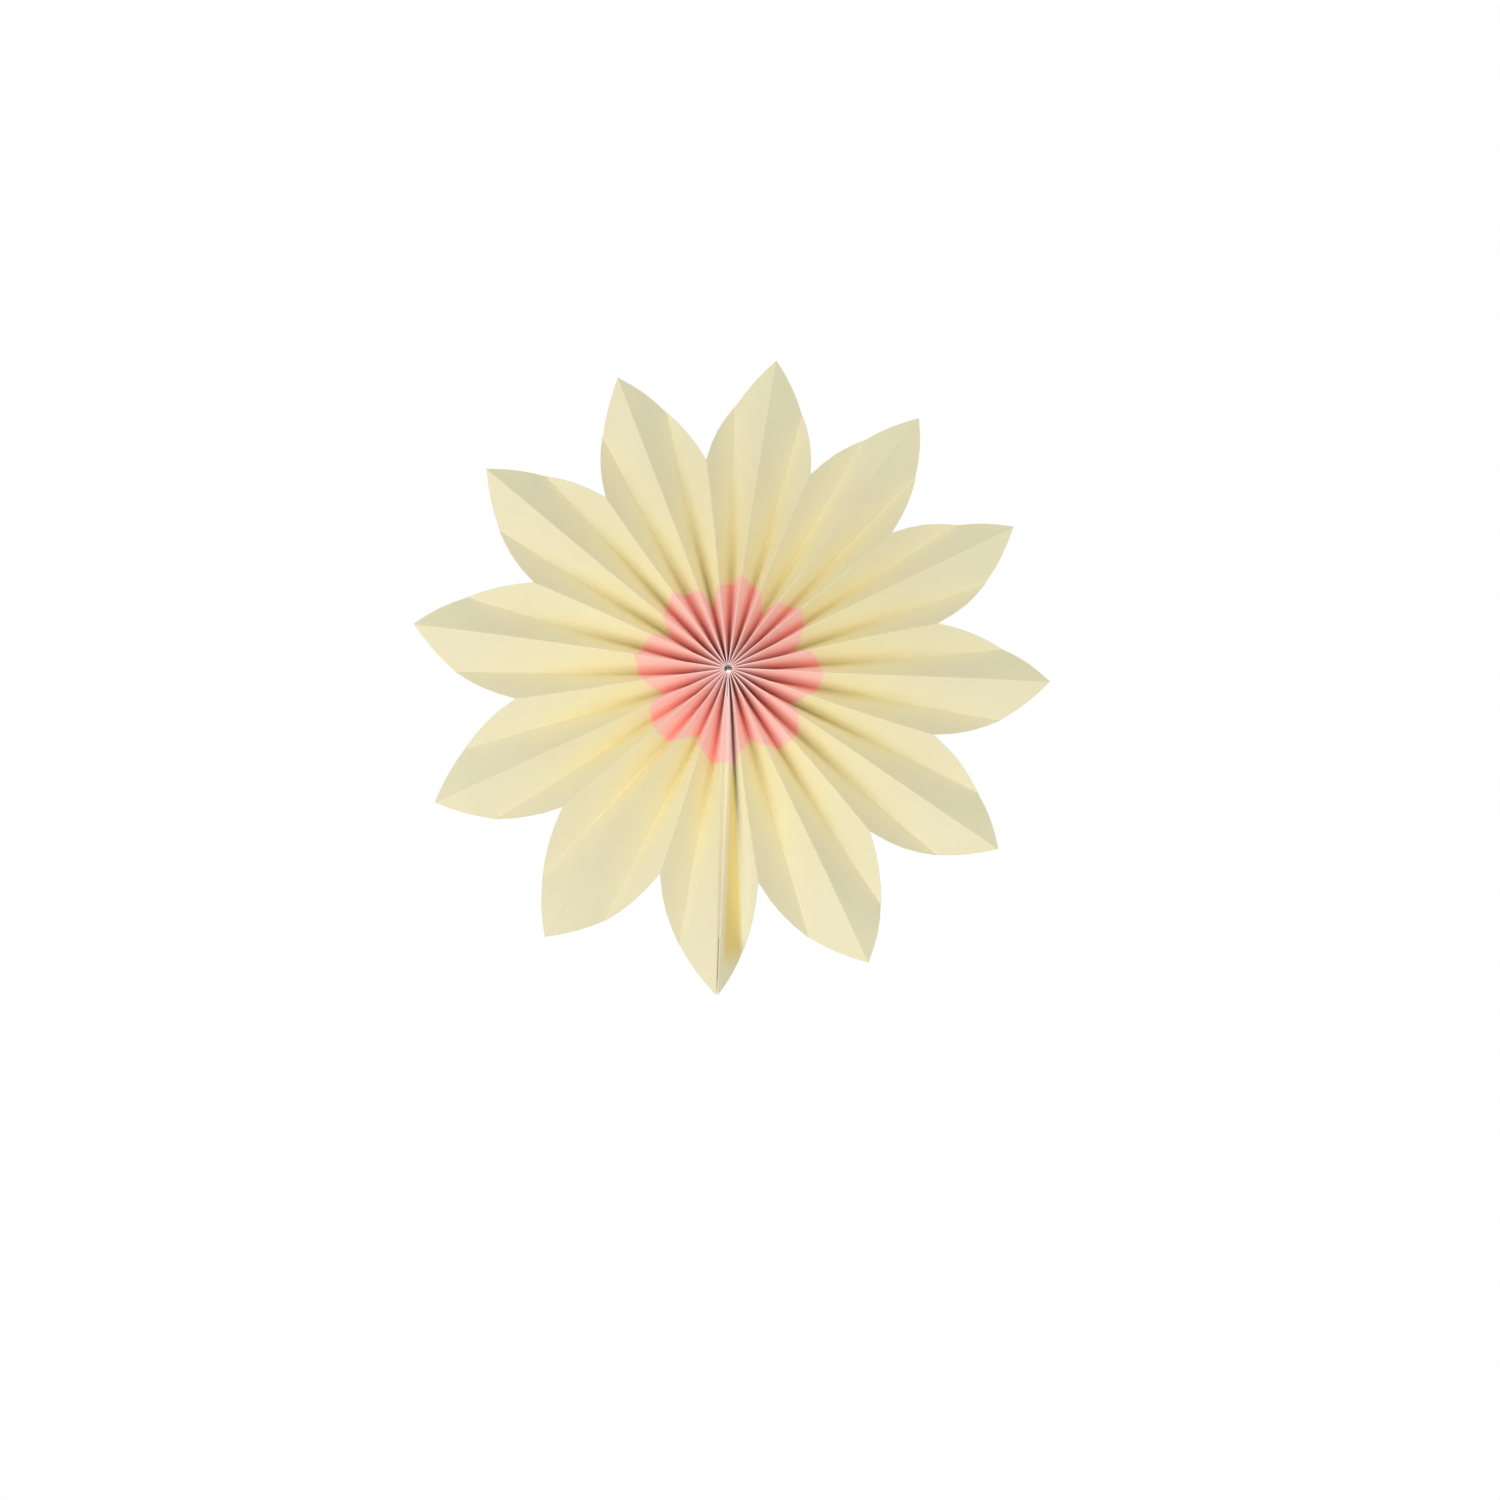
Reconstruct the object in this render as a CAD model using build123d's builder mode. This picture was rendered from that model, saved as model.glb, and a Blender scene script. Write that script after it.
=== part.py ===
"""Paper fan rosette: one strip of paper pleated into a round fan of twelve pointed petals.

Millimetres. The rosette hangs upright: its front faces -Y, +Z is up, and the origin is the middle of
the hub. The strip is creased into panels that stand on edge at the hub and open out towards the rim.
Its cut edge gives each petal a tip on one front crease and the notches beside it on the next ones.
The strip's two ends turn back as flaps, and tape joins them along the ridge of the petal at the seam.
A thread runs through a ring of punched holes near the pleats' inner ends and holds the hub together.
"""

import os
from math import asin, atan2, cos, exp, hypot, pi, radians, sin, sqrt, tan

from build123d import *

# Paper and its cut edge
paper = 0.2
tip_reach = 175.0
notch_reach = 117.0
petal_arc = 205.0
flap_past_thread = 3.0
crease_play = 0.02

# The hub: the open eye, the punched holes and the thread in them
eye_radius = 2.2
thread_ring_radius = 6.0
punched_radius = 0.85
punch_sides = 8
punch_throw = 0.3
thread_radius = 0.35
thread_sides = 8
knot_radius = 0.62

# How the fan stands when it is opened out by hand: degrees from each petal's tip to the next, from the seam
seam_heading = 268.0
petal_openings = (27.3, 30.8, 31.6, 28.9, 26.3, 28.2, 29.4, 29.4, 31.5, 32.9, 31.4, 32.3)
seam_squeeze = 0.36
flattest_tip = 7.0
seam_gape = 1.3
gape_reach = 42.0

# The tape between the two flaps
tape_thickness = 0.2
tape_width = 9.0
tape_margin = 2.0
tape_start = 15.0
tape_length = 130.0

# Folds are counted round the fan from the seam, where the first and the last one lie side by side
petals = len(petal_openings)
panels = 4 * petals
crease = paper + crease_play
seam_offset = (tape_thickness + paper + crease) / 2
stations = (0, 0.12, 0.3, 0.52, 0.75, 0.9, 1)


def fold_headings():
    """Heading of every fold: a petal's halves open alike, except the half at the seam, which is squeezed."""
    headings = [seam_heading]
    for k, opening in enumerate(petal_openings):
        first_half = seam_squeeze if k == 0 else 0.5
        for half in (first_half, 1 - first_half):
            pitch = half / 2 * opening * 360 / sum(petal_openings)
            headings += [headings[-1] + pitch, headings[-1] + 2 * pitch]
    return headings


headings = fold_headings()
pitches = [after - before for before, after in zip(headings, headings[1:])]
fold_pitches = [(pitches[i - 1] + pitches[i % panels]) / 2 for i in range(panels + 1)]
panel_width = hypot(2 * tip_reach * sin(radians(max(fold_pitches[::4])) / 2), flattest_tip)
flap_width = panel_width / 2 + flap_past_thread


def cut_reach(across):
    """Distance from the hub to the cut edge, at this distance across the flat strip from a petal's tip."""
    half_base = panel_width
    drop = tip_reach - notch_reach
    half_chord = hypot(half_base * 2, drop) / 2
    inset = sqrt(petal_arc**2 - half_chord**2) / (2 * half_chord)
    centre_across = half_base - drop * inset
    centre_reach = (tip_reach + notch_reach) / 2 - 2 * half_base * inset
    return centre_reach + sqrt(petal_arc**2 - (across - centre_across) ** 2)


def hub_offset(i):
    """How far fold i passes beside the hub's axis, so that all folds share the eye's rim evenly."""
    first = asin(seam_offset / eye_radius)
    at_eye = radians(seam_heading) + first + (2 * pi - 2 * first) * i / panels
    return eye_radius * sin(at_eye - radians(headings[i]))


def fold_to_tip(i):
    """Distance across the flat strip from fold i to the nearest petal's tip."""
    return panel_width * min(i % 4, 4 - i % 4)


def lift(i, reach):
    """Height of fold i above the fan's middle plane: the panels keep their width as they open."""
    along = min(reach, cut_reach(fold_to_tip(i)))
    spacing = 2 * along * sin(radians(fold_pitches[i]) / 2)
    return sqrt(panel_width**2 - spacing**2) / 2


def gape(i, reach):
    """How far the ridge beside the seam springs away from the tape. Every other fold has none."""
    past = max(reach - thread_ring_radius, 0) / gape_reach
    springs = {0: 1, panels: -1}.get(i, 0)
    return springs * seam_gape * past * exp(1 - past)


def place(i, reach, aside, height):
    """Point beside fold i, from its distance to the hub, its sideways shift and its height to the front."""
    heading = radians(headings[i])
    side = hub_offset(i) + aside
    return Vector(
        reach * cos(heading) - side * sin(heading), -height, reach * sin(heading) + side * cos(heading)
    )


def crease_corner(i, way, reach, front):
    """Corner of the paper's front or back face where fold i's crease meets the panel on one side."""
    crest = 1 if i % 2 == 0 else -1
    if 0 <= i + min(way, 0) < panels:
        rise = lift(i, reach) + lift(i + way, reach)
        run = 2 * reach * sin(radians(pitches[i + min(way, 0)]) / 2) - crease
        run -= abs(gape(i, reach)) + abs(gape(i + way, reach))
    else:
        rise, run = tape_margin, abs(gape(i, reach))
    lean = paper / 2 * tan(atan2(rise, run) / 2)
    outside = crest if front else -crest
    aside = gape(i, reach) + way * (crease / 2 + outside * lean)
    return place(i, reach, aside, crest * (lift(i, reach) + outside * paper / 2))


def line_of_reaches(across):
    """Distances from the hub at which one line along the strip has its points."""
    start = eye_radius - paper
    return [start + share * (cut_reach(across) - start) for share in stations]


def crease_line(i, way, front):
    """Points along one side of fold i's crease, from the eye to the cut edge."""
    return [crease_corner(i, way, reach, front) for reach in line_of_reaches(fold_to_tip(i))]


def middle_line(i, front):
    """Points along the middle of panel i."""
    across = (fold_to_tip(i) + fold_to_tip(i + 1)) / 2
    points = []
    for reach in line_of_reaches(across):
        points.append((crease_corner(i, 1, reach, front) + crease_corner(i + 1, -1, reach, front)) / 2)
    return points


def flap_line(i, way, front, depth):
    """Points along the flap at the first or the last fold, at this depth behind the fold's ridge."""
    face = paper / 2 if front else -paper / 2
    points = []
    for reach in line_of_reaches(depth):
        bend = atan2(abs(gape(i, reach)), tape_margin) if depth == tape_margin else 0
        height = lift(i, reach) - depth + face * tan(bend / 2)
        points.append(place(i, reach, way * (crease / 2 + face), height))
    return points


def strip_lines(front):
    """Every line of points along the strip, from one flap to the other, on its front or its back face."""
    lines = [flap_line(0, -1, front, flap_width), flap_line(0, -1, front, tape_margin), crease_line(0, -1, front)]
    for i in range(panels):
        lines += [crease_line(i, 1, front), middle_line(i, front), crease_line(i + 1, -1, front)]
    lines.append(crease_line(panels, 1, front))
    lines += [flap_line(panels, 1, front, tape_margin), flap_line(panels, 1, front, flap_width)]
    return lines


def facet(*corners):
    """Flat facet of the paper between its corners."""
    return Face(Wire.make_polygon(corners, close=True))


def patch(near, far, j, twist):
    """Facets between two lines at one station: one where the paper is flat, else two parted by a diagonal."""
    a, b, c, d = near[j], far[j], far[j + 1], near[j + 1]
    if twist > 0:
        return [facet(a, b, c), facet(a, c, d)]
    if twist < 0:
        return [facet(a, b, d), facet(b, c, d)]
    return [facet(a, b, c, d)]


def strip_solid():
    """The pleated strip as one closed solid of flat facets.

    Between two folds the panel twists, and its diagonals start at the folds' inner ends. So does each
    flap's edge where it springs away from the tape. The creases and the taped part of the flaps are flat.
    """
    fronts, backs = strip_lines(True), strip_lines(False)
    twists = [0, -1, 0] + [1, -1, 0] * panels + [1, 0]
    facets = []
    for n, twist in enumerate(twists):
        for j in range(len(stations) - 1):
            facets += patch(fronts[n], fronts[n + 1], j, twist)
            facets += patch(backs[n], backs[n + 1], j, twist)
        for end in (0, -1):
            a, b, c, d = fronts[n][end], fronts[n + 1][end], backs[n + 1][end], backs[n][end]
            facets += [facet(a, b, c), facet(a, c, d)]
    for end in (0, -1):
        for j in range(len(stations) - 1):
            facets += patch(fronts[end], backs[end], j, 0)
    return Solid(Shell(facets))


def panel_middle_plane(i):
    """Plane square to panel i where the thread goes through the middle of it."""
    before, after = (place(n, thread_ring_radius, 0, 0) for n in (i, i + 1))
    return Plane(origin=(before + after) / 2, z_dir=after - before)


def flap_plane(i, way):
    """Plane in the middle of the flap at fold i where the thread goes through it."""
    return Plane(
        origin=place(i, thread_ring_radius, way * crease / 2, 0), x_dir=seam_plane.x_dir, z_dir=seam_plane.z_dir
    )


seam = radians(seam_heading)
seam_plane = Plane(origin=(0, 0, 0), x_dir=(cos(seam), 0, sin(seam)), z_dir=(-sin(seam), 0, cos(seam)))
punch_planes = [panel_middle_plane(i) for i in range(panels)] + [flap_plane(0, -1), flap_plane(panels, 1)]

with BuildPart() as punches:
    with BuildSketch(*punch_planes):
        RegularPolygon(punched_radius, punch_sides)
    extrude(amount=punch_throw, both=True)
    with BuildSketch(Plane.XZ):
        Circle(eye_radius)
    extrude(amount=panel_width, both=True)

with BuildPart() as pleated_strip:
    add(strip_solid())
    add(punches.part, mode=Mode.SUBTRACT, clean=False)
pleated_strip.part.label = "pleated_strip"

with BuildPart() as seam_tape:
    with BuildSketch(seam_plane):
        with BuildLine():
            start, end = tape_start, tape_start + tape_length
            start_edge, end_edge = (tape_margin - lift(0, reach) for reach in (start, end))
            Polyline(
                (start, start_edge),
                (end, end_edge),
                (end, end_edge + tape_width),
                (start, start_edge + tape_width),
                close=True,
            )
        make_face()
    extrude(amount=tape_thickness / 2, both=True)
seam_tape.part.label = "seam_tape"

with BuildPart() as hub_thread:
    with BuildSketch(seam_plane):
        with Locations((thread_ring_radius, 0)):
            RegularPolygon(thread_radius, thread_sides)
    revolve(axis=Axis.Y)
    with Locations(seam_plane.from_local_coords((thread_ring_radius, 0, 0))):
        Sphere(knot_radius)
hub_thread.part.label = "hub_thread"

os.makedirs("parts", exist_ok=True)
for piece in (pleated_strip, seam_tape, hub_thread):
    export_step(piece.part, f"parts/{piece.part.label}.step")
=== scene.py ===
"""The looks of the paper fan rosette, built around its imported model.

Metres. The rosette hangs upright: its front faces -Y, +Z is up and the origin is the middle of the hub.
The strip is drawn flat first, with its punched holes and its thickness, and is then folded line by line.
Folds are counted round the fan from the seam, where the first and the last one lie side by side.
"""

import logging
from dataclasses import dataclass
from enum import Enum
from functools import cached_property
from math import asin, cos, hypot, pi, radians, sin, sqrt, tau

import bpy
import numpy as np
from mathutils import Euler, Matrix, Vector


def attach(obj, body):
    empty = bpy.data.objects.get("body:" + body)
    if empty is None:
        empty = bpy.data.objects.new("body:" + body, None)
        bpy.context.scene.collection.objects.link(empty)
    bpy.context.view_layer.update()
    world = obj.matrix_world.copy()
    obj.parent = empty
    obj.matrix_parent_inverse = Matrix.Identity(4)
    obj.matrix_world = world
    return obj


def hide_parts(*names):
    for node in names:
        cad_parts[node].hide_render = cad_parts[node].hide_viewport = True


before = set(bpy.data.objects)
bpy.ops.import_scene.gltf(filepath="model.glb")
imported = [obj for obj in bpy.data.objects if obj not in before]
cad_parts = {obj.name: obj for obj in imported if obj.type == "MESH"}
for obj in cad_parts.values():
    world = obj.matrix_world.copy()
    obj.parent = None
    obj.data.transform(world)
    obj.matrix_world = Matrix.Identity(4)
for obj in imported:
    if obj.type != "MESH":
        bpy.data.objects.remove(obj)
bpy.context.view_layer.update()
log = logging.getLogger("rosette")

MM = 0.001
FRONT = np.array((0.0, -1.0, 0.0))
BODY = "root"
SHEET_UV = "flat_sheet"


class Face(Enum):
    """Material slot of each side of the paper."""

    PRINTED = 0
    PLAIN = 1
    CUT = 2


class Stretch(Enum):
    """Which stretch of the folded strip a line of the mesh lies on."""

    FLAP = "flap"
    PANEL = "panel"
    CREASE = "crease"


# How the strip is cut and folded


@dataclass(frozen=True)
class FanFold:
    """Cut and folds of the strip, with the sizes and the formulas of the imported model."""

    paper: float = 0.2 * MM
    crease: float = 0.22 * MM
    tip_reach: float = 175 * MM
    notch_reach: float = 117 * MM
    petal_arc: float = 205 * MM
    flap_past_thread: float = 3 * MM
    eye_radius: float = 2.2 * MM
    thread_ring_radius: float = 6 * MM
    punched_radius: float = 0.85 * MM
    tape_thickness: float = 0.2 * MM
    tape_margin: float = 2 * MM
    seam_heading: float = 268.0
    petal_openings: tuple[float, ...] = (
        27.3, 30.8, 31.6, 28.9, 26.3, 28.2, 29.4, 29.4, 31.5, 32.9, 31.4, 32.3,
    )
    seam_squeeze: float = 0.36
    flattest_tip: float = 7 * MM
    seam_gape: float = 1.3 * MM
    gape_reach: float = 42 * MM

    @property
    def panels(self) -> int:
        """Number of panels between the first and the last fold."""
        return 4 * len(self.petal_openings)

    @cached_property
    def headings(self) -> np.ndarray:
        """Heading of every fold in radians, counter-clockwise from +X as the viewer sees the fan.

        Returns:
            One heading a fold, from the seam round to the seam again.
        """
        headings = [radians(self.seam_heading)]
        for k, opening in enumerate(self.petal_openings):
            first_half = self.seam_squeeze if k == 0 else 0.5
            for half in (first_half, 1 - first_half):
                pitch = half / 2 * opening * tau / sum(self.petal_openings)
                headings += [headings[-1] + pitch, headings[-1] + 2 * pitch]
        return np.array(headings)

    @cached_property
    def fold_pitches(self) -> np.ndarray:
        """Mean angle from each fold to its two neighbours."""
        pitches = np.diff(self.headings)
        return (np.append(pitches[-1], pitches) + np.append(pitches, pitches[0])) / 2

    @cached_property
    def panel_width(self) -> float:
        """Width of a panel, from fold to fold on the flat strip."""
        widest = max(self.fold_pitches[::4])
        return hypot(2 * self.tip_reach * sin(widest / 2), self.flattest_tip)

    @property
    def flap_width(self) -> float:
        """Depth of the two end flaps behind the ridges at the seam."""
        return self.panel_width / 2 + self.flap_past_thread

    def fold_to_tip(self, fold: int) -> float:
        """Distance across the flat strip from a fold to the nearest petal's tip."""
        return self.panel_width * min(fold % 4, 4 - fold % 4)

    def cut_reach(self, across: float) -> float:
        """Shape of the cut edge: an arc from each petal's tip to the notch beside it.

        Args:
            across: Distance across the flat strip from the nearest petal's tip.

        Returns:
            Distance from the hub to the cut edge.
        """
        half_base = self.panel_width
        drop = self.tip_reach - self.notch_reach
        half_chord = hypot(half_base * 2, drop) / 2
        inset = sqrt(self.petal_arc**2 - half_chord**2) / (2 * half_chord)
        centre_across = half_base - drop * inset
        centre_reach = (self.tip_reach + self.notch_reach) / 2 - 2 * half_base * inset
        return centre_reach + sqrt(self.petal_arc**2 - (across - centre_across) ** 2)

    def hub_offset(self, fold: int) -> float:
        """How far a fold passes beside the hub's axis, so that all folds share the eye's rim evenly.

        Args:
            fold: The fold's number.

        Returns:
            The distance, towards the next fold.
        """
        seam_offset = (self.tape_thickness + self.paper + self.crease) / 2
        first = asin(seam_offset / self.eye_radius)
        at_eye = radians(self.seam_heading) + first + (tau - 2 * first) * fold / self.panels
        return self.eye_radius * sin(at_eye - self.headings[fold])

    def lift(self, fold: int, reach: np.ndarray) -> np.ndarray:
        """Distance of a fold from the fan's middle plane: the panels keep their width as they open.

        Args:
            fold: The fold's number.
            reach: Distances from the hub along it.

        Returns:
            One distance a row.
        """
        along = np.minimum(reach, self.cut_reach(self.fold_to_tip(fold)))
        spacing = 2 * along * sin(self.fold_pitches[fold] / 2)
        return np.sqrt(self.panel_width**2 - spacing**2) / 2

    def springs(self, fold: int) -> int:
        """Way in which a fold springs off the tape: 1 for the first, -1 for the last, 0 for the others."""
        return {0: 1, self.panels: -1}.get(fold, 0)

    def gape(self, fold: int, reach: np.ndarray) -> np.ndarray:
        """How far the ridge beside the seam springs away from the tape. Other folds have none."""
        past = np.maximum(reach - self.thread_ring_radius, 0) / self.gape_reach
        return self.springs(fold) * self.seam_gape * past * np.exp(1 - past)

    def beside(self, fold: int) -> np.ndarray:
        """Level direction square to a fold, towards the next one."""
        return np.array((-sin(self.headings[fold]), 0, cos(self.headings[fold])))

    def place(self, fold: int, reach: np.ndarray, aside: np.ndarray, height: np.ndarray) -> np.ndarray:
        """Points beside a fold.

        Args:
            fold: The fold's number.
            reach: Distances from the hub along it.
            aside: Sideways shifts, on top of the fold's own.
            height: Heights above the middle plane, to the front.

        Returns:
            One point a row.
        """
        along = np.array((cos(self.headings[fold]), 0, sin(self.headings[fold])))
        side = self.hub_offset(fold) + aside
        return np.outer(reach, along) + np.outer(side, self.beside(fold)) + np.outer(height, FRONT)


@dataclass(frozen=True)
class Line:
    """One line of the paper's mesh, from the hub to the cut edge.

    Attributes:
        stretch: Where on the strip it lies.
        start: The fold it lies on or beside, or the fold its panel starts from.
        at: Depth behind the ridge on a flap, share across on a panel, or turn from -1 to 1 on a crease.
        punch: -1 or 1 beside the middle of a punched hole, 0 elsewhere.
    """

    stretch: Stretch
    start: int
    at: float
    punch: int = 0


@dataclass(frozen=True)
class PaperHandling:
    """How real paper differs from flat panels and sharp folds.

    The steps are angles in radians from one fold or panel to the next, so that no two move alike.
    """

    tight_bend: float = 0.11 * MM
    rim_bend: float = 0.14 * MM
    valley_bend: float = 0.25 * MM
    seam_bend: float = 0.5 * MM
    seam_tightens_over: float = 60 * MM
    bends_tight_until: float = 10 * MM
    bends_soften_over: float = 50 * MM
    bow: float = 0.42 * MM
    bow_step: float = 1.7
    bow_start: float = 0.6
    ripple: float = 0.16 * MM
    ripple_length: float = 58 * MM
    ripple_step: float = 2.4
    sway: float = 0.6 * MM
    sway_step: float = 2.4
    double_sway: float = 0.5
    double_sway_step: float = 3.9
    double_sway_start: float = 1.0
    starts_at: float = 10 * MM
    grows_over: float = 50 * MM

    def growth(self, reach: np.ndarray) -> np.ndarray:
        """How free the paper is at these reaches: 0 where the thread holds it, 1 towards the rim."""
        share = np.clip((reach - self.starts_at) / self.grows_over, 0, 1)
        return share * share * (3 - 2 * share)


@dataclass(frozen=True)
class PleatedStrip:
    """The one strip of paper: pleated panels, two end flaps, punched holes and the cut edge.

    Attributes:
        fan: The cut and the folds.
        handling: How the paper was handled.
        node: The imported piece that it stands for.
        arc_turns: Turns of the lines over a crease, between -1 at one panel and 1 at the next.
        hole_share: Share of the way across a panel where its hole is punched.
        panel_shares: Shares of the way across a panel where it has lines.
        upper_flap_line: Depth of the line below the tape's edge on a flap, in margins of the tape.
        eye_band: Reach of the row between the eye and the punched holes.
        hub_rows_end: Reach from which the rows are spread evenly to the cut edge.
        punched_row: Number of the row through the middles of the punched holes.
        rim_rows: Number of the rows that are spread evenly.
        printed_side: Place of the printed side, in thicknesses from the paper's middle.
        plain_side: Place of the plain side, in thicknesses from the paper's middle.
        smooth_below: Angle in degrees up to which the shading runs on over an edge.
    """

    fan: FanFold
    handling: PaperHandling
    node: str = "pleated_strip"
    arc_turns: tuple[float, ...] = (-0.5, 0.0, 0.5)
    hole_share: float = 0.5
    panel_shares: tuple[float, ...] = (0.0, 0.02, 0.25, hole_share, 0.75, 0.98, 1.0)
    upper_flap_line: float = 2.5
    eye_band: float = 3.4 * MM
    hub_rows_end: float = 10 * MM
    punched_row: int = 3
    rim_rows: int = 60
    printed_side: float = 0.5
    plain_side: float = -0.5
    smooth_below: float = 50.0

    @cached_property
    def hub_rows(self) -> tuple[float, ...]:
        """Distances from the hub of the rows round the eye and the punched holes."""
        ring, hole = self.fan.thread_ring_radius, self.fan.punched_radius
        return self.fan.eye_radius, self.eye_band, ring - hole, ring, ring + hole, self.hub_rows_end

    # Lines of the flat strip

    def flap_lines(self, fold: int) -> list[Line]:
        """Lines of one end flap, its punched hole's sides among them.

        Args:
            fold: The ridge that the flap hangs from.

        Returns:
            The lines, from its free edge to the ridge.
        """
        fan = self.fan
        middle, hole = fan.panel_width / 2, fan.punched_radius
        depths = [
            (fan.flap_width, 0), (middle + hole, 1), (middle, 0), (middle - hole, -1),
            (fan.tape_margin * self.upper_flap_line, 0), (fan.tape_margin, 0),
        ]
        return [Line(Stretch.FLAP, fold, depth, punch) for depth, punch in depths]

    def panel_lines(self, panel: int) -> list[Line]:
        """Lines of one panel, its punched hole's sides among them.

        Args:
            panel: The panel's number.

        Returns:
            The lines, from the panel's first fold to its second.
        """
        beside_hole = self.fan.punched_radius / self.fan.panel_width
        lines = []
        for share in self.panel_shares:
            punches = (-1, 0, 1) if share == self.hole_share else (0,)
            lines += [Line(Stretch.PANEL, panel, share + punch * beside_hole, punch) for punch in punches]
        return lines

    def crease_lines(self, fold: int) -> list[Line]:
        """Lines over one crease, between its two panels' edges."""
        return [Line(Stretch.CREASE, fold, turn) for turn in self.arc_turns]

    @cached_property
    def lines(self) -> list[Line]:
        """Every line of the strip.

        Returns:
            The lines, from the first flap's free edge to the last flap's.
        """
        last = self.fan.panels
        lines = self.flap_lines(0) + [Line(Stretch.CREASE, 0, -1.0)] + self.crease_lines(0)
        for panel in range(last):
            lines += self.panel_lines(panel) + self.crease_lines(panel + 1)
        return lines + [Line(Stretch.CREASE, last, 1.0)] + self.flap_lines(last)[::-1]

    def across(self, line: Line) -> float:
        """Where the cut edge is read for a line.

        Args:
            line: The line.

        Returns:
            Its distance across the flat strip from the nearest petal's tip.
        """
        if line.stretch is Stretch.FLAP:
            return line.at
        if line.stretch is Stretch.CREASE:
            return self.fan.fold_to_tip(line.start)
        start, end = self.fan.fold_to_tip(line.start), self.fan.fold_to_tip(line.start + 1)
        return start + (end - start) * line.at

    def strip_place(self, line: Line) -> float:
        """Place of a line along the strip.

        Args:
            line: The line.

        Returns:
            The place in panels from the seam's first fold, below 0 on the first flap.
        """
        if line.stretch is Stretch.FLAP:
            depth = line.at / self.fan.panel_width
            return -depth if line.start == 0 else line.start + depth
        if line.stretch is Stretch.CREASE:
            return line.start
        return line.start + line.at

    def reaches(self, line: Line) -> np.ndarray:
        """Distances from the hub of a line's points, with the corners of a punched hole drawn in.

        Args:
            line: The line.

        Returns:
            One distance a row.
        """
        out = np.linspace(0, 1, self.rim_rows + 1)[1:]
        cut = self.fan.cut_reach(self.across(line))
        reach = np.append(self.hub_rows, self.hub_rows[-1] + out * (cut - self.hub_rows[-1]))
        if line.punch:
            corner = self.fan.punched_radius * sqrt(0.5)
            reach[self.punched_row - 1] = self.fan.thread_ring_radius - corner
            reach[self.punched_row + 1] = self.fan.thread_ring_radius + corner
        return reach

    def places_at(self, line: Line) -> np.ndarray:
        """A line's place on its stretch at each row: only the corners of a punched hole differ from it.

        Args:
            line: The line.

        Returns:
            One place a row, in the units of the line's own place.
        """
        at = np.full(len(self.hub_rows) + self.rim_rows, line.at)
        if line.punch:
            drawn_in = self.fan.punched_radius * (1 - sqrt(0.5)) * line.punch
            if line.stretch is Stretch.PANEL:
                drawn_in /= self.fan.panel_width
            at[[self.punched_row - 1, self.punched_row + 1]] -= drawn_in
        return at

    # Folding

    def bend_radius(self, fold: int, reach: np.ndarray) -> np.ndarray:
        """Radius of a crease in the paper's middle: tight in the hub, softer towards the rim.

        Args:
            fold: The fold's number.
            reach: Distances from the hub along it.

        Returns:
            One radius a row.
        """
        how = self.handling
        softened = np.clip((reach - how.bends_tight_until) / how.bends_soften_over, 0, 1)
        soft = how.rim_bend if crest(fold) > 0 else how.valley_bend
        if self.fan.springs(fold):
            soft = how.seam_bend
            softened *= np.clip((self.fan.tip_reach - reach) / how.seam_tightens_over, 0, 1)
        return how.tight_bend + (soft - how.tight_bend) * softened

    def sway(self, fold: int, reach: np.ndarray) -> np.ndarray:
        """How far a crease wanders from its straight line between the hub and the cut edge.

        Args:
            fold: The fold's number.
            reach: Distances from the hub along it.

        Returns:
            One sideways shift a row. The two folds at the seam have none.
        """
        if self.fan.springs(fold):
            return np.zeros_like(reach)
        how = self.handling
        cut = self.fan.cut_reach(self.fan.fold_to_tip(fold))
        along = np.clip(reach / cut, 0, 1)
        single = sin(how.sway_step * fold) * np.sin(pi * along)
        turn = how.double_sway_step * fold + how.double_sway_start
        double = how.double_sway * sin(turn) * np.sin(tau * along)
        return how.sway * how.growth(reach) * (single + double)

    def crease_centre(self, fold: int, reach: np.ndarray) -> np.ndarray:
        """Middle of a crease's bend, behind a ridge or in front of a valley.

        Args:
            fold: The fold's number.
            reach: Distances from the hub along it.

        Returns:
            One point a row.
        """
        radius = self.bend_radius(fold, reach)
        aside = self.fan.gape(fold, reach) + self.sway(fold, reach)
        aside += self.fan.springs(fold) * (radius - self.fan.crease / 2)
        height = crest(fold) * (self.fan.lift(fold, reach) - radius)
        return self.fan.place(fold, reach, aside, height)

    def facing(self, panel: int, reach: np.ndarray, turn: float = 1.0) -> np.ndarray:
        """Direction in which a panel's printed side faces.

        Args:
            panel: The panel's number, or -1 and the last fold's number for the tops of the two flaps.
            reach: Distances from the hub.
            turn: Share of the way from the front to the panel's own direction.

        Returns:
            One unit vector a row.
        """
        fan = self.fan
        if panel in (-1, fan.panels):
            fold, way = (0, -1) if panel < 0 else (panel, 1)
            radius = self.bend_radius(fold, reach)
            rise, run = fan.tape_margin - radius, radius + abs(fan.gape(fold, reach))
            angle = np.arctan2(rise, run) + np.arcsin(radius / np.hypot(rise, run))
            level = np.tile(way * fan.beside(fold), (len(reach), 1))
        else:
            way = self.crease_centre(panel + 1, reach) - self.crease_centre(panel, reach)
            rise = abs(way[:, 1])
            way[:, 1] = 0
            run = np.linalg.norm(way, axis=1)
            radii = self.bend_radius(panel, reach) + self.bend_radius(panel + 1, reach)
            angle = np.arctan2(rise, run) + np.arcsin(radii / np.hypot(rise, run))
            level = crest(panel) * way / run[:, None]
        return np.sin(angle * turn)[:, None] * level + np.cos(angle * turn)[:, None] * FRONT

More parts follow.
